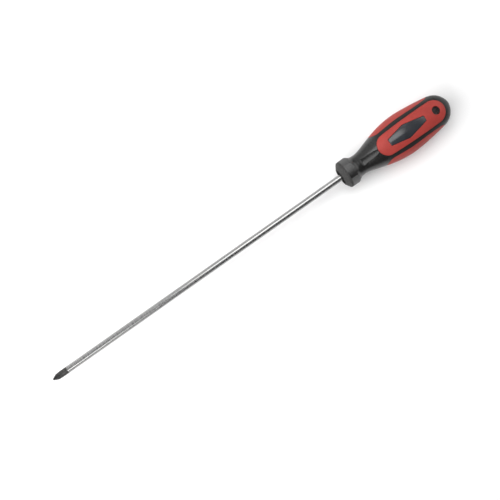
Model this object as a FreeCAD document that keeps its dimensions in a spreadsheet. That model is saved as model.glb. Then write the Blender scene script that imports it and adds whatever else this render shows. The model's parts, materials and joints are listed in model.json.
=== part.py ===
"""Long cross-point screwdriver with a moulded grip, as a parametric document.

The tool's axis lies along +X with the driver point at the origin and the grip at the far end.
+Z is the grip's front, where the badge is, and Y runs from side to side. Millimetres.
"""
import FreeCAD, Part
import math
import os

import Sketcher

X, Y, Z = FreeCAD.Vector(1, 0, 0), FreeCAD.Vector(0, 1, 0), FreeCAD.Vector(0, 0, 1)
ACROSS = FreeCAD.Rotation(Y, Z, X, "ZXY")  # an object's own Z runs along the tool
SIDEWAYS = FreeCAD.Rotation(X, 90)         # a sketch's own Y points to the tool's front
NEAR = 1e-4                                # lengths closer than this count as equal

DIMENSIONS = {
    # blade
    "collar_x": 300.0,            # length of blade in front of the grip
    "shaft_radius": 3.0,
    "nib_radius": 0.85,
    "nib_length": 0.3,
    "point_length": 4.3,
    "flute_floor": 0.8,           # distance of a flute's floor from the axis, at the point
    "flute_wheel": 20.0,          # radius of the wheel that grinds the flutes
    "flute_angle": 92.0,
    "tail_radius": 2.75,
    "tail_start": -0.6,
    "tail_end": 86.0,
    "wing_start": 60.0,
    "wing_end": 72.0,
    "wing_half_width": 5.0,
    "wing_thickness": 2.0,
    # collar, measured from its front face
    "collar_radius": 12.5,
    "nose_radius": 7.8,
    "nose_length": 2.95,
    "nose_round": 2.2,
    "rim_round": 0.3,
    "flange_end": 5.0,
    "collar_end": 11.4,
    "flat_bow": 45.0,             # radius of each of the six flats' slight crown
    "collar_round": 2.2,
    "flare_end": 15.3,
    "flare_round": 6.0,
    "recess_radius": 7.1,
    "recess_depth": 2.5,
    # grip panels: front and rear, then the two sides
    "seam": 0.14,
    "face_front_x": 47.1,
    "face_front_radius": 9.55,
    "face_rear_x": 96.4,
    "face_rear_radius": 10.3,
    "face_bow": 600.0,
    "flank_front_x": 48.4,
    "flank_front_radius": 9.7,
    "flank_rear_x": 93.2,
    "flank_rear_radius": 7.4,
    "flank_bow": 110.0,
    "panel_round": 0.35,
    # badge
    "badge_front_x": 48.9,
    "badge_middle_x": 66.1,
    "badge_rear_x": 86.0,
    "badge_front_half": 3.05,
    "badge_middle_half": 6.6,
    "badge_rear_half": 2.35,
    "badge_corner": 0.9,
    "badge_shoulder": 6.0,
    "badge_round": 0.45,
    "badge_crown_x": 67.5,        # centre of the ellipsoid that a badge's face belongs to
    "badge_crown_length": 33.0,
    "badge_crown_width": 11.8,
    "badge_crown_depth": 10.0,
    "badge_crown_top": 17.0,      # height of a badge's highest point above the axis
    # thumb flute in front of the front and rear panels
    "thumb_x": 16.1,
    "thumb_radius": 14.0,
    "thumb_nose_round": 2.0,
    "thumb_depth": 2.2,
    "thumb_slope": 16.0,
    "thumb_rim_round": 0.5,
    # hole to hang the tool by
    "hang_x": 98.2,
    "hang_radius": 3.75,
    "reach": 30.0,                # half length of cutters that pass right through the grip
}

# Sections of the grip from the neck to the butt: distance from the collar's face, half width
# and half depth.
SECTIONS = {
    "neck": (17.8, 9.65, 9.65),
    "throat": (26.5, 10.85, 10.5),
    "shoulder": (37.7, 14.25, 13.2),
    "swell": (50.0, 17.25, 15.35),
    "belly": (64.3, 18.8, 16.7),
    "waist": (80.8, 17.75, 15.8),
    "heel": (97.2, 15.5, 13.8),
    "rim": (104.9, 13.55, 12.05),
    "crown": (110.4, 9.4, 8.35),
    "dome": (113.3, 4.65, 4.15),
    "butt": (114.4, 1.0, 0.9),
}

# Sections of the hard core inside it, measured the same way.
CORE_SECTIONS = {
    "core_neck": (17.8, 7.2, 7.2),
    "core_throat": (26.5, 8.3, 7.9),
    "core_shoulder": (37.8, 12.45, 11.4),
    "core_swell": (50.0, 15.4, 13.45),
    "core_belly": (64.4, 17.0, 14.85),
    "core_waist": (80.9, 15.95, 14.0),
    "core_heel": (97.4, 13.7, 11.95),
    "core_rim": (104.5, 11.45, 10.0),
    "core_crown": (109.3, 7.5, 6.55),
    "core_butt": (111.5, 3.4, 3.0),
}

doc = FreeCAD.newDocument("Screwdriver")
dims = doc.addObject("Spreadsheet::Sheet", "Dims")


def fill_sheet():
    cells = dict(DIMENSIONS)
    for name, (x, width, depth) in {**SECTIONS, **CORE_SECTIONS}.items():
        cells.update({name + "_x": x, name + "_half_width": width, name + "_half_depth": depth})
    for row, (alias, value) in enumerate(cells.items(), start=1):
        dims.set(f"A{row}", alias)
        dims.set(f"B{row}", str(value))
        dims.setAlias(f"B{row}", alias)
    doc.recompute()


def d(alias):
    """Expression for one cell."""
    return f"Dims.{alias}"


def at(alias):
    """Expression for a place along the tool that is measured from the collar's face."""
    return f"Dims.collar_x + Dims.{alias}"


def value(expression):
    return float(dims.evalExpression(expression))


def bind(thing, **expressions):
    """Bind properties to the sheet. A double underscore stands for a dot."""
    for prop, expression in expressions.items():
        thing.setExpression(prop.replace("__", "."), expression)
    return thing


# ---------------------------------------------------------------- sketches

def plane_of(body, role):
    return next(f for f in body.Origin.OriginFeatures if f.Role == role)


def body_sketch(body, name, role):
    sketch = body.newObject("Sketcher::SketchObject", name)
    sketch.AttachmentSupport = [(plane_of(body, role), "")]
    sketch.MapMode = "FlatFace"
    return sketch


def free_sketch(name, rotation=FreeCAD.Rotation()):
    sketch = doc.addObject("Sketcher::SketchObject", name)
    sketch.Placement.Rotation = rotation
    return sketch


def fix(sketch, kind, references, expression):
    """Add a dimension whose size follows the sheet."""
    index = sketch.addConstraint(Sketcher.Constraint(kind, *references, value(expression)))
    sketch.setExpression(f"Constraints[{index}]", expression)


def draw_polygon(sketch, corners):
    """Closed outline through corners given as pairs of expressions. "0" lies on the axis."""
    points = [FreeCAD.Vector(value(x), value(y), 0) for x, y in corners]
    count = len(points)
    for i in range(count):
        sketch.addGeometry(Part.LineSegment(points[i], points[(i + 1) % count]), False)
    for i in range(count):
        sketch.addConstraint(Sketcher.Constraint("Coincident", i, 2, (i + 1) % count, 1))
    for i, (x, y) in enumerate(corners):
        for kind, expression, axis in (("DistanceX", x, -2), ("DistanceY", y, -1)):
            if expression == "0":
                sketch.addConstraint(Sketcher.Constraint("PointOnObject", i, 1, axis))
            else:
                fix(sketch, kind, (-1, 1, i, 1), expression)


def draw_bowed_slot(sketch, front_x, front_radius, rear_x, rear_radius, bow):
    """Slot whose long sides are arcs, each touching both round ends from outside."""
    x1, r1, x2, r2, big = (value(e) for e in (front_x, front_radius, rear_x, rear_radius, bow))
    reach1, reach2, span = big - r1, big - r2, x2 - x1
    along = (reach1 ** 2 - reach2 ** 2 + span ** 2) / (2 * span)
    drop = math.sqrt(reach1 ** 2 - along ** 2)
    lean1 = math.atan2(drop, -along)
    lean2 = math.atan2(drop, span - along)
    arcs = (
        ((x1, 0), r1, lean1, 2 * math.pi - lean1),
        ((x1 + along, drop), big, -lean1, -lean2),
        ((x2, 0), r2, -lean2, lean2),
        ((x1 + along, -drop), big, lean2, lean1),
    )
    for (cx, cy), radius, start, end in arcs:
        circle = Part.Circle(FreeCAD.Vector(cx, cy, 0), Z, radius)
        sketch.addGeometry(Part.ArcOfCircle(circle, start, end), False)
    for i in range(4):
        sketch.addConstraint(Sketcher.Constraint("Tangent", i, 2, (i + 1) % 4, 1))
    for i, x, radius in ((0, front_x, front_radius), (2, rear_x, rear_radius)):
        sketch.addConstraint(Sketcher.Constraint("PointOnObject", i, 3, -1))
        fix(sketch, "DistanceX", (-1, 1, i, 3), x)
        fix(sketch, "Radius", (i,), radius)
    for i in (1, 3):
        fix(sketch, "Radius", (i,), bow)


def draw_crowned_hexagon(sketch):
    """Six shallow arcs between corners on a circle, the first corner on the sketch's X axis."""
    corner, bow, count = value(d("collar_radius")), value(d("flat_bow")), 6
    half = math.asin(corner * math.sin(math.pi / count) / bow)
    drop = corner * math.cos(math.pi / count) - bow * math.cos(half)
    for i in range(count):
        middle = (2 * i + 1) * math.pi / count
        center = FreeCAD.Vector(drop * math.cos(middle), drop * math.sin(middle), 0)
        arc = Part.ArcOfCircle(Part.Circle(center, Z, bow), middle - half, middle + half)
        sketch.addGeometry(arc, False)
        fix(sketch, "Radius", (i,), d("flat_bow"))
    for i in range(count):
        sketch.addConstraint(Sketcher.Constraint("Coincident", i, 2, (i + 1) % count, 1))
        turn = 360 / count * i
        for kind, wave, axis in (("DistanceX", "cos", -2), ("DistanceY", "sin", -1)):
            expression = f"Dims.collar_radius * {wave}({turn} deg)"
            if abs(value(expression)) < NEAR:
                sketch.addConstraint(Sketcher.Constraint("PointOnObject", i, 1, axis))
            else:
                fix(sketch, kind, (-1, 1, i, 1), expression)


# ---------------------------------------------------------------- solids

def cut(name, base, tool):
    feature = doc.addObject("Part::Cut", name)
    feature.Base, feature.Tool = base, tool
    return feature


def common(name, base, tool):
    feature = doc.addObject("Part::Common", name)
    feature.Base, feature.Tool = base, tool
    return feature


def fuse(name, shapes):
    feature = doc.addObject("Part::MultiFuse", name)
    feature.Shapes = shapes
    return feature


def extrude(name, sketch, direction, length=d("reach")):
    feature = doc.addObject("Part::Extrusion", name)
    feature.Base = sketch
    feature.DirMode = "Custom"
    feature.Dir = direction
    feature.Solid = True
    return bind(feature, LengthFwd=length)


def revolve(body, sketch, name):
    feature = body.newObject("PartDesign::Revolution", name)
    feature.Profile = sketch
    feature.ReferenceAxis = (sketch, ["H_Axis"])
    feature.Angle = 360
    return feature


def round_corner(body, base, name, radius, wanted):
    """Fillet the edges of a body's last feature whose centre passes a test."""
    doc.recompute()
    edges = [f"Edge{i}" for i, edge in enumerate(base.Shape.Edges, start=1) if wanted(edge)]
    if not edges:
        raise RuntimeError(name + " finds no edge")
    feature = body.newObject("PartDesign::Fillet", name)
    feature.Base = (base, edges)
    return bind(feature, Radius=d(radius))


def ring_at(x, radius):
    """Test for the circle about the tool's axis at a place and of a radius."""
    def wanted(edge):
        curve = edge.Curve
        return (hasattr(curve, "Radius") and abs(curve.Radius - radius) < NEAR
                and abs(curve.Center.x - x) < NEAR)
    return wanted


def edges_of_skin(shape):
    """Numbers of the edges round the faces that were lofted with the grip."""
    lofted = [face for face in shape.Faces if "BSpline" in face.Surface.TypeId]
    return [i for i, edge in enumerate(shape.Edges, start=1)
            if any(edge.isSame(other) for face in lofted for other in face.Edges)]


def soften(name, base, radius):
    """Round the rim of a piece where it meets the grip's surface."""
    doc.recompute()
    feature = doc.addObject("Part::Fillet", name)
    feature.Base = base
    size = value(d(radius))
    feature.Edges = [(i, size, size) for i in edges_of_skin(base.Shape)]
    return feature


def make_blade():
    body = doc.addObject("PartDesign::Body", "Blade")
    profile = body_sketch(body, "BladeProfile", "XZ_Plane")
    draw_polygon(profile, [
        ("0", "0"),
        ("0", "Dims.nib_radius - Dims.nib_length"),
        (d("nib_length"), d("nib_radius")),
        (d("point_length"), d("shaft_radius")),
        (at("tail_start"), d("shaft_radius")),
        (at("tail_start"), d("tail_radius")),
        (at("tail_end"), d("tail_radius")),
        (at("tail_end"), "0"),
    ])
    shaft = revolve(body, profile, "Shaft")

    wings = body_sketch(body, "WingOutline", "XY_Plane")
    draw_polygon(wings, [
        (at("wing_start"), "-Dims.wing_half_width"),
        (at("wing_end"), "-Dims.wing_half_width"),
        (at("wing_end"), d("wing_half_width")),
        (at("wing_start"), d("wing_half_width")),
    ])
    pad = body.newObject("PartDesign::Pad", "Wings")
    pad.Profile = wings
    pad.Midplane = True
    bind(pad, Length=d("wing_thickness"))

    vee = body_sketch(body, "FluteVee", "YZ_Plane")
    half_open = "Dims.shaft_radius * 1.5 * tan(Dims.flute_angle / 2 * 1 deg)"
    draw_polygon(vee, [
        ("0", d("flute_floor")),
        (half_open, "Dims.flute_floor + Dims.shaft_radius * 1.5"),
        ("-" + half_open, "Dims.flute_floor + Dims.shaft_radius * 1.5"),
    ])
    hub = vee.addGeometry(Part.LineSegment(FreeCAD.Vector(-1, 20, 0), FreeCAD.Vector(1, 20, 0)), True)
    vee.addConstraint(Sketcher.Constraint("Horizontal", hub))
    fix(vee, "DistanceY", (-1, 1, hub, 1), "Dims.flute_floor + Dims.flute_wheel")
    fix(vee, "DistanceX", (-1, 1, hub, 1), "-Dims.shaft_radius")
    fix(vee, "DistanceX", (-1, 1, hub, 2), d("shaft_radius"))
    groove = body.newObject("PartDesign::Groove", "Flute")
    groove.Profile = vee
    groove.ReferenceAxis = (vee, ["Axis0"])
    groove.Angle = 360
    doc.recompute()
    if groove.Shape.Volume >= pad.Shape.Volume:
        raise RuntimeError("the flute cuts nothing")

    flutes = body.newObject("PartDesign::PolarPattern", "Flutes")
    flutes.Originals = [groove]
    flutes.Axis = (plane_of(body, "X_Axis"), [""])
    flutes.Angle = 360
    flutes.Occurrences = 4
    body.Tip = flutes
    doc.recompute()
    return body


def oval_loft(name, sections):
    """Solid through oval sections, a little flatter front to back than side to side."""
    ovals = []
    for place in sections:
        oval = doc.addObject("Part::Ellipse", "Section_" + place)
        oval.Placement.Rotation = ACROSS
        bind(oval, Placement__Base__x=at(place + "_x"),
             MajorRadius=d(place + "_half_width"), MinorRadius=d(place + "_half_depth"))
        ovals.append(oval)
    loft = doc.addObject("Part::Loft", name)
    loft.Sections = ovals
    loft.Solid = True
    return loft


def make_core_blank():
    """Hard core, still solid. Its front face is the floor of the recess in the collar's nose."""
    stem = doc.addObject("Part::Cylinder", "CoreStem")
    stem.Placement.Rotation = ACROSS
    bind(stem, Radius=d("recess_radius"), Height="Dims.core_neck_x - Dims.recess_depth",
         Placement__Base__x=at("recess_depth"))
    return fuse("CoreBlank", [stem, oval_loft("CoreSwell", CORE_SECTIONS)])


def hang_hole():
    hole = doc.addObject("Part::Cylinder", "HangHole")
    return bind(hole, Radius=d("hang_radius"), Height="2 * Dims.reach",
                Placement__Base__x=at("hang_x"), Placement__Base__z="-Dims.reach")


def make_collar():
    """Turned collar with six flats behind its round flange."""
    body = doc.addObject("PartDesign::Body", "CollarTurned")
    profile = body_sketch(body, "CollarProfile", "XZ_Plane")
    draw_polygon(profile, [
        (d("collar_x"), "0"),
        (d("collar_x"), d("nose_radius")),
        (at("nose_length"), d("collar_radius")),
        (at("collar_end"), d("collar_radius")),
        (at("flare_end"), d("neck_half_width")),
        (at("neck_x"), d("neck_half_width")),
        (at("neck_x"), "0"),
    ])
    turned = revolve(body, profile, "CollarBlank")
    corners = (
        ("RimRound", "rim_round", d("collar_x"), "nose_radius"),
        ("NoseRound", "nose_round", at("nose_length"), "collar_radius"),
        ("CollarRound", "collar_round", at("collar_end"), "collar_radius"),
        ("FlareRound", "flare_round", at("flare_end"), "neck_half_width"),
    )
    for name, round_radius, place, radius in corners:
        turned = round_corner(body, turned, name, round_radius, ring_at(value(place), value(d(radius))))

    sleeve = doc.addObject("Part::Cylinder", "FlatsSleeve")
    sleeve.Placement.Rotation = ACROSS
    bind(sleeve, Radius="1.5 * Dims.collar_radius", Height="Dims.flare_end - Dims.flange_end",
         Placement__Base__x=at("flange_end"))
    outline = free_sketch("FlatsOutline", ACROSS)
    bind(outline, Placement__Base__x=at("flange_end"))
    draw_crowned_hexagon(outline)
    hexagon = extrude("FlatsHexagon", outline, X, "Dims.flare_end - Dims.flange_end")
    return cut("CollarWithFlats", body, cut("FlatsCutter", sleeve, hexagon))


def thumb_flute(name, side):
    """Cutter for the hollow that leads up to a panel: a round-nosed bar laid along the neck."""
    lift = "Dims.neck_half_width - Dims.thumb_depth + Dims.thumb_radius"
    tilt = FreeCAD.Rotation(Y, 90 - value(d("thumb_slope")))
    if side < 0:
        tilt = FreeCAD.Rotation(X, 180) * tilt
    bar = doc.addObject("Part::Cylinder", name + "Bar")
    bar.Placement.Rotation = tilt
    bind(bar, Height=d("reach"), Radius=d("thumb_radius"), Placement__Base__x=at("thumb_x"),
         Placement__Base__z=lift if side > 0 else f"-({lift})")
    doc.recompute()
    size = value(d("thumb_nose_round"))
    near_end = bar.Placement.Base
    rim = [i for i, edge in enumerate(bar.Shape.Edges, start=1)
           if isinstance(edge.Curve, Part.Circle) and edge.Curve.Center.isEqual(near_end, NEAR)]
    flute = doc.addObject("Part::Fillet", name)
    flute.Base = bar
    flute.Edges = [(i, size, size) for i in rim]
    return flute


def soften_flutes(name, base):
    """Round the rims of the thumb flutes: the edges where a flute's face meets any other."""
    doc.recompute()
    rounds = {"Part::GeomCylinder": ("Radius", "thumb_radius"),
              "Part::GeomToroid": ("MinorRadius", "thumb_nose_round")}

    def in_flute(face):
        measure, alias = rounds.get(face.Surface.TypeId, (None, None))
        return measure is not None and abs(getattr(face.Surface, measure) - value(d(alias))) < NEAR

    shape, size = base.Shape, value(d("thumb_rim_round"))
    feature = doc.addObject("Part::Fillet", name)
    feature.Base = base
    rims = []
    for i, edge in enumerate(shape.Edges, start=1):
        faces = shape.ancestorsOfType(edge, Part.Face)
        if [in_flute(face) for face in faces].count(True) == 1:
            rims.append((i, size, size))
    feature.Edges = rims
    return feature


def slot_cutter(name, kind, rotation, direction, gap):
    """Straight-sided block in the outline of a panel, or of its window when a gap is added."""
    outline = free_sketch(name + "Outline", rotation)
    extra = " + Dims.seam" if gap else ""
    draw_bowed_slot(outline, at(kind + "_front_x"), d(kind + "_front_radius") + extra,
                    at(kind + "_rear_x"), d(kind + "_rear_radius") + extra,
                    d(kind + "_bow") + extra)
    return extrude(name, outline, direction)


def badge_cutter(name, direction, gap):
    """Straight-sided block in the outline of a badge, or of its seat when a gap is added."""
    extra = " + Dims.seam" if gap else ""
    ahead = " - Dims.seam" if gap else ""
    half = {place: d(f"badge_{place}_half") + extra for place in ("front", "middle", "rear")}
    front, middle, rear = at("badge_front_x") + ahead, at("badge_middle_x"), at("badge_rear_x") + extra
    outline = free_sketch(name + "Outline")
    draw_polygon(outline, [
        (front, f"-({half['front']})"),
        (middle, f"-({half['middle']})"),
        (rear, f"-({half['rear']})"),
        (rear, half["rear"]),
        (middle, half["middle"]),
        (front, half["front"]),
    ])
    block = extrude(name + "Block", outline, direction)
    doc.recompute()
    rounded = doc.addObject("Part::Fillet", name)
    rounded.Base = block
    corners = []
    for i, edge in enumerate(block.Shape.Edges, start=1):
        if abs(edge.Vertexes[0].Z - edge.Vertexes[-1].Z) > NEAR:
            at_shoulder = abs(edge.CenterOfMass.x - value(middle)) < NEAR
            size = value(d("badge_shoulder" if at_shoulder else "badge_corner"))
            corners.append((i, size, size))
    rounded.Edges = corners
    return rounded


def badge_crown(name, direction):
    """Ellipsoid whose top is a badge's face, a little more curved than the grip round it."""
    crown = doc.addObject("Part::Ellipsoid", name)
    crown.Placement.Rotation = SIDEWAYS
    height = "Dims.badge_crown_top - Dims.badge_crown_depth"
    return bind(crown, Radius1=d("badge_crown_width"), Radius2=d("badge_crown_length"),
                Radius3=d("badge_crown_depth"), Placement__Base__x=at("badge_crown_x"),
                Placement__Base__z=height if direction.z > 0 else f"-({height})")


def make_handle(blade):
    """Core moulded round the blade's tail, then the pieces of its skin from one outer shape."""
    core, hole, grip = make_core_blank(), hang_hole(), oval_loft("GripBlank", SECTIONS)
    skin = cut("GripSkin", grip, core)
    pieces = {"handle_core": cut("CoreBored", cut("CoreRoundBlade", core, blade), hole)}
    windows = []
    panels = (
        ("front", "face", FreeCAD.Rotation(), Z, True),
        ("rear", "face", FreeCAD.Rotation(), -Z, True),
        ("left", "flank", SIDEWAYS, Y, False),
        ("right", "flank", SIDEWAYS, -Y, False),
    )
    for side, kind, rotation, direction, has_badge in panels:
        title = side.capitalize()
        windows.append(slot_cutter(title + "Window", kind, rotation, direction, True))
        blank = common(title + "PanelBlank", skin,
                       slot_cutter(title + "PanelBlock", kind, rotation, direction, False))
        if has_badge:
            seated = cut(title + "PanelSeat", blank, badge_cutter(title + "Seat", direction, True))
            blank = cut(title + "PanelBored", seated, hole)
            badge = common(title + "BadgeBlank", badge_crown(title + "BadgeCrown", direction),
                           badge_cutter(title + "Badge", direction, False))
            seated_badge = cut(title + "BadgeSeated", badge, core)
            pieces[side + "_badge"] = soften(title + "BadgeSoft", seated_badge, "badge_round")
        pieces[side + "_grip_panel"] = soften(title + "PanelSoft", blank, "panel_round")

    body = fuse("OvermouldBlank", [grip, make_collar()])
    recess = doc.addObject("Part::Cylinder", "NoseRecess")
    recess.Placement.Rotation = ACROSS
    bind(recess, Radius=d("recess_radius"), Height=d("recess_depth"), Placement__Base__x=d("collar_x"))
    cutters = [*windows, thumb_flute("FrontThumbFlute", 1), thumb_flute("RearThumbFlute", -1), recess]
    carved = cut("OvermouldCarved", body, fuse("OvermouldCutters", cutters))
    pieces["overmould"] = soften_flutes("OvermouldSoft", cut("OvermouldHollow", carved, core))
    return pieces


def export(pieces):
    doc.recompute()
    bad = [o.Name for o in doc.Objects if {"Invalid", "Error"} & set(o.State)]
    if bad:
        raise RuntimeError("not built: " + ", ".join(bad))
    os.makedirs("parts", exist_ok=True)
    for label, piece in pieces.items():
        piece.Label = label
        shape = piece.Shape
        if shape.isNull() or not shape.isValid() or len(shape.Solids) != 1:
            raise RuntimeError(f"{label}: not one sound solid ({len(shape.Solids)})")
        shape.exportStep(f"parts/{label}.step")
        box = shape.optimalBoundingBox()
        print(f"{label:18s} {shape.Volume:9.1f} mm3  x {box.XMin:.2f}..{box.XMax:.2f}"
              f"  y {box.YMin:.2f}..{box.YMax:.2f}  z {box.ZMin:.2f}..{box.ZMax:.2f}")


fill_sheet()
blade_body = make_blade()
export({"blade": blade_body, **make_handle(blade_body)})
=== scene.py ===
"""Looks, light and camera for the screwdriver. The frame's axis is the blade: +X to the grip, +Z front."""

import json
import math

import bpy
from mathutils import Matrix, Vector


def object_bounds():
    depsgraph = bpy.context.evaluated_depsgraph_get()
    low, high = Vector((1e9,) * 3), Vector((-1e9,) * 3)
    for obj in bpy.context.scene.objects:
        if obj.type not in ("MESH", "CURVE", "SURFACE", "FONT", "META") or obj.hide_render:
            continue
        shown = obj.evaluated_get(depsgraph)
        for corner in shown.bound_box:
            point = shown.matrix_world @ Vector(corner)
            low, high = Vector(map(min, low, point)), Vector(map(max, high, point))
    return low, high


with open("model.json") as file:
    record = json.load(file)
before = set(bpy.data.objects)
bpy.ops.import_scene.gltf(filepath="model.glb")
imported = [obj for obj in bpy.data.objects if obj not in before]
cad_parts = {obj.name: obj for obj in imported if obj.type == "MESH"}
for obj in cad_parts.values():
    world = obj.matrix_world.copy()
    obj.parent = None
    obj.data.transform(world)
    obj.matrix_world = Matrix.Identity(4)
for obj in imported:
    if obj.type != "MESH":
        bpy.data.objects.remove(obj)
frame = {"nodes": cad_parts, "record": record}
nodes = frame["nodes"]
cad_low, cad_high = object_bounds()

BLACK_TIP = 0.0147              # blackened length at the point
TIP_FRAY = 0.0007               # how far the blackening's edge wanders
TIP_FADE = (0.0001, 0.0006)     # where behind that edge the steel begins and is bare
FLANGE_BACK = 0.305             # behind here the black moulding is polished, in front of it matt
FLANGE_FADE = 0.0003            # half the length over which that changes
NECK_BACK = 0.342               # behind here it is satin
NECK_FADE = 0.006               # half the length over which that changes

# ---------------------------------------------------------------- node helpers


class Shader:
    """A node material with one principled shader, and short ways to add texture nodes to it."""

    def __init__(self, name):
        self.material = bpy.data.materials.new(name)
        self.material.use_nodes = True
        self.tree = self.material.node_tree
        self.bsdf = self.tree.nodes["Principled BSDF"]
        self.place = self.add("ShaderNodeTexCoord").outputs["Object"]

    def add(self, kind, **settings):
        node = self.tree.nodes.new(kind)
        for key, setting in settings.items():
            setattr(node, key, setting)
        return node

    def feed(self, socket, source):
        if isinstance(source, bpy.types.NodeSocket):
            self.tree.links.new(source, socket)
        else:
            socket.default_value = source

    def stretched(self, x, y, z):
        """Coordinates stretched along each axis."""
        mapping = self.add("ShaderNodeMapping")
        mapping.inputs["Scale"].default_value = (x, y, z)
        self.feed(mapping.inputs["Vector"], self.place)
        return mapping.outputs["Vector"]

    def noise(self, scale, detail=3.0, roughness=0.55, vector=None):
        node = self.add("ShaderNodeTexNoise")
        node.inputs["Scale"].default_value = scale
        node.inputs["Detail"].default_value = detail
        node.inputs["Roughness"].default_value = roughness
        self.feed(node.inputs["Vector"], vector or self.place)
        return node.outputs["Fac"]

    def remap(self, source, low, high, to_low=0.0, to_high=1.0):
        node = self.add("ShaderNodeMapRange", interpolation_type="SMOOTHSTEP")
        self.feed(node.inputs["Value"], source)
        spans = (("From Min", low), ("From Max", high), ("To Min", to_low), ("To Max", to_high))
        for key, setting in spans:
            self.feed(node.inputs[key], setting)
        return node.outputs["Result"]

    def math(self, operation, first, second):
        node = self.add("ShaderNodeMath", operation=operation)
        self.feed(node.inputs[0], first)
        self.feed(node.inputs[1], second)
        return node.outputs["Value"]

    def mix(self, factor, first, second):
        node = self.add("ShaderNodeMix", data_type="RGBA")
        self.feed(node.inputs[0], factor)
        self.feed(node.inputs[6], first)
        self.feed(node.inputs[7], second)
        return node.outputs[2]

    def bump(self, height, distance, strength=1.0, normal=None):
        node = self.add("ShaderNodeBump")
        node.inputs["Strength"].default_value = strength
        node.inputs["Distance"].default_value = distance
        self.feed(node.inputs["Height"], height)
        if normal:
            self.feed(node.inputs["Normal"], normal)
        return node.outputs["Normal"]

    def axis(self, letter):
        node = self.add("ShaderNodeSeparateXYZ")
        self.feed(node.inputs[0], self.place)
        return node.outputs[letter]

    def set(self, **sockets):
        """Principled inputs by name, with an underscore for a space."""
        for key, source in sockets.items():
            self.feed(self.bsdf.inputs[key.replace("_", " ")], source)


def grey(level, warm=1.0):
    return (level * warm, level, level / warm, 1.0)


# ---------------------------------------------------------------- materials

def blade_steel():
    s = Shader("blade_steel")
    streaks = s.noise(1.0, detail=4, vector=s.stretched(18, 900, 900))
    rings = s.noise(1.0, detail=3, roughness=0.6, vector=s.stretched(2600, 12, 12))
    cloud = s.noise(60, detail=2)
    steel = s.mix(s.remap(cloud, 0.35, 0.7), grey(0.385), grey(0.41, 1.01))
    steel = s.mix(s.remap(streaks, 0.45, 0.75, 0.0, 0.15), steel, grey(0.33, 1.01))

    edge = s.math("ADD", s.axis("X"), s.math("MULTIPLY", s.noise(420, detail=4), TIP_FRAY))
    bare = s.remap(edge, BLACK_TIP + TIP_FADE[0], BLACK_TIP + TIP_FADE[1])
    soot = s.mix(s.remap(s.noise(900, detail=4), 0.4, 0.7), grey(0.045), grey(0.09, 1.03))
    s.set(
        Base_Color=s.mix(bare, soot, steel),
        Metallic=s.remap(bare, 0.0, 1.0, 0.55, 1.0),
        Roughness=s.math("ADD", s.remap(bare, 0.0, 1.0, 0.06, 0.0), s.remap(rings, 0.3, 0.75, 0.24, 0.3)),
        Normal=s.bump(rings, 0.000002, 0.15, s.bump(streaks, 0.000002, 0.2)),
    )
    return s.material


def red_rubber():
    s = Shader("red_rubber")
    cloud = s.noise(70, detail=3)
    fine = s.noise(2400, detail=4, roughness=0.7)
    red = s.mix(s.remap(cloud, 0.3, 0.72), (0.31, 0.030, 0.023, 1), (0.365, 0.038, 0.030, 1))
    red = s.mix(s.remap(fine, 0.5, 0.8, 0.0, 0.35), red, (0.22, 0.017, 0.012, 1))
    s.set(
        Base_Color=red,
        Roughness=s.remap(fine, 0.25, 0.8, 0.5, 0.68),
        Normal=s.bump(fine, 0.00002, 0.35),
        Specular_IOR_Level=0.35,
        Sheen_Weight=0.02,
        Sheen_Roughness=0.5,
    )
    return s.material


def black_rubber():
    """Matt and grainy on the flange round the blade, polished on the flats and the neck, satin behind."""
    s = Shader("black_rubber")
    cloud = s.noise(90, detail=4)
    fine = s.noise(1900, detail=4, roughness=0.65)
    past_flange = s.remap(s.axis("X"), FLANGE_BACK - FLANGE_FADE, FLANGE_BACK + FLANGE_FADE)
    on_grip = s.remap(s.axis("X"), NECK_BACK - NECK_FADE, NECK_BACK + NECK_FADE)
    black = s.mix(s.remap(cloud, 0.3, 0.75), grey(0.004, 1.03), grey(0.007, 1.03))
    black = s.mix(s.remap(fine, 0.55, 0.85, 0.0, 0.4), black, grey(0.018, 1.02))
    satin = s.mix(s.remap(fine, 0.35, 0.75), grey(0.010, 1.04), grey(0.018, 1.03))
    grain = s.noise(1300, detail=3, roughness=0.65)
    matt = s.mix(s.remap(grain, 0.35, 0.68), grey(0.026, 1.02), grey(0.062, 1.01))
    sheen = s.math("ADD", s.remap(cloud, 0.3, 0.7, 0.0, 0.05), s.remap(fine, 0.25, 0.8, 0.2, 0.28))
    sheen = s.math("ADD", sheen, s.remap(past_flange, 0.0, 1.0, 0.32, 0.0))
    s.set(
        Base_Color=s.mix(past_flange, matt, s.mix(on_grip, black, satin)),
        Roughness=s.math("ADD", sheen, s.remap(on_grip, 0.0, 1.0, 0.0, 0.14)),
        Specular_IOR_Level=s.math("SUBTRACT", s.remap(past_flange, 0.0, 1.0, 0.15, 0.62),
                                  s.remap(on_grip, 0.0, 1.0, 0.0, 0.34)),
        Normal=s.bump(fine, 0.000025, 0.4),
    )
    return s.material


def core_plastic():
    s = Shader("core_plastic")
    cloud = s.noise(150, detail=4)
    fine = s.noise(3000, detail=3)
    s.set(
        Base_Color=s.mix(s.remap(cloud, 0.3, 0.7), grey(0.018, 1.04), grey(0.03, 1.03)),
        Roughness=s.remap(fine, 0.3, 0.7, 0.3, 0.44),
        Normal=s.bump(fine, 0.00001, 0.3),
    )
    return s.material


def badge_plastic():
    s = Shader("badge_plastic")
    cloud = s.noise(120, detail=3)
    grain = s.noise(3200, detail=3)
    s.set(
        Base_Color=s.mix(s.remap(cloud, 0.3, 0.7), (0.017, 0.019, 0.023, 1), (0.024, 0.027, 0.033, 1)),
        Specular_IOR_Level=0.65,
        Roughness=s.remap(grain, 0.3, 0.75, 0.19, 0.25),
        Normal=s.bump(grain, 0.000008, 0.3),
    )
    return s.material


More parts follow.
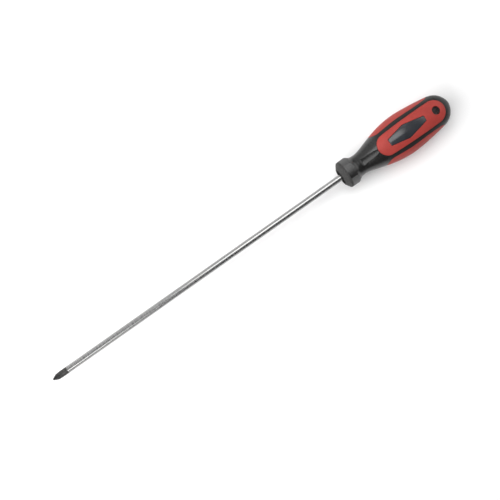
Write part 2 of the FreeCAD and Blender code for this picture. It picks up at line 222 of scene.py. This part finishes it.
makers = {
    "blade_steel": blade_steel,
    "red_rubber": red_rubber,
    "black_rubber": black_rubber,
    "core_plastic": core_plastic,
    "badge_plastic": badge_plastic,
}
finishes = {slot: make() for slot, make in makers.items()}
for entry in frame["record"]["subparts"]:
    mesh = nodes[entry["node"]].data
    mesh.materials.clear()
    mesh.materials.append(finishes[entry["material_slot"]])

# ---------------------------------------------------------------- stage

GROUND = cad_low.z - 0.00005     # a hair below the tool
FLOOR_HALF = 6.0


def make_floor():
    """A plain table top in a faintly uneven white."""
    mesh = bpy.data.meshes.new("floor")
    corners = [(-FLOOR_HALF, -FLOOR_HALF), (FLOOR_HALF, -FLOOR_HALF),
               (FLOOR_HALF, FLOOR_HALF), (-FLOOR_HALF, FLOOR_HALF)]
    mesh.from_pydata([(x, y, GROUND) for x, y in corners], [], [(0, 1, 2, 3)])
    s = Shader("floor_white")
    s.set(Base_Color=s.mix(s.remap(s.noise(3, detail=2), 0.3, 0.7), grey(0.92), grey(0.95)),
          Roughness=0.9, Specular_IOR_Level=0.0)
    mesh.materials.append(s.material)
    floor = bpy.data.objects.new("floor", mesh)
    bpy.context.collection.objects.link(floor)


def make_world(level):
    """An even white surround."""
    world = bpy.data.worlds.new("studio")
    bpy.context.scene.world = world
    world.use_nodes = True
    background = world.node_tree.nodes["Background"]
    background.inputs["Color"].default_value = (1, 1, 1, 1)
    background.inputs["Strength"].default_value = level


def softbox(name, place, aim, size, radiance):
    """Rectangular light of an even brightness, turned to face a point."""
    light = bpy.data.lights.new(name, "AREA")
    light.shape = "RECTANGLE"
    light.size, light.size_y = size
    light.energy = radiance * math.pi * size[0] * size[1]
    lamp = bpy.data.objects.new(name, light)
    place, aim = Vector(place), Vector(aim)
    facing = (aim - place).to_track_quat("-Z", "Y").to_matrix().to_4x4()
    lamp.matrix_world = Matrix.Translation(place) @ facing
    bpy.context.collection.objects.link(lamp)


# ---------------------------------------------------------------- camera

LEAN = math.radians(3.5)        # the point is nearer the camera than the butt
SLANT = math.radians(35.15)     # the blade's slope in the picture
DISTANCE = 0.9                  # from the camera to the point it looks at
VIEW_WIDTH = 0.4287             # width of what the camera sees at that distance
SENSOR = 36                     # the camera sensor's width in millimetres
CLIP = (0.1, 50)                # nearest and farthest distance drawn
MIDDLE = 0.2056                 # place on the blade's axis near the picture's centre
SHIFT_ALONG = 0.0061            # how far the picture's centre is from it, towards the point
SHIFT_ACROSS = 0.00605          # and towards the tool's right

along = Vector((math.cos(LEAN), 0, math.sin(LEAN)))
back = Vector((-math.sin(LEAN), 0, math.cos(LEAN)))
side = back.cross(along)
right = along * math.cos(SLANT) - side * math.sin(SLANT)
up = along * math.sin(SLANT) + side * math.cos(SLANT)
aim = Vector((MIDDLE, 0, 0)) - along * SHIFT_ALONG - side * SHIFT_ACROSS

cam_data = bpy.data.cameras.new("camera")
cam_data.sensor_width = SENSOR
cam_data.lens = SENSOR * DISTANCE / VIEW_WIDTH
cam_data.clip_start, cam_data.clip_end = CLIP
camera = bpy.data.objects.new("camera", cam_data)
turn = Matrix((right, up, back)).transposed().to_4x4()
camera.matrix_world = Matrix.Translation(aim + back * DISTANCE) @ turn
bpy.context.collection.objects.link(camera)
bpy.context.scene.camera = camera

# ---------------------------------------------------------------- floor and light

WORLD_LEVEL = 0.16

make_floor()
make_world(WORLD_LEVEL)
# Each lamp's name, place, aim, size and radiance.
softbox("key", (0.29, 0.15, 0.5), (0.29, 0.0, 0.0), (0.32, 0.34), 3.3)
softbox("tip_light", (-0.07, -0.39, 0.45), (0.03, 0.0, 0.0), (0.26, 0.22), 4.2)
softbox("card", (0.05, 0.9, 0.5), (0.15, 0.0, 0.1), (1.8, 1.0), 0.7)
softbox("front_box", (-0.95, 0.15, 0.85), (0.2, 0.0, 0.0), (1.5, 1.4), 3.9)
softbox("rear_box", (1.6, 0.2, 0.75), (0.3, 0.0, 0.0), (1.5, 1.4), 1.5)
bpy.context.scene.view_settings.view_transform = "Standard"
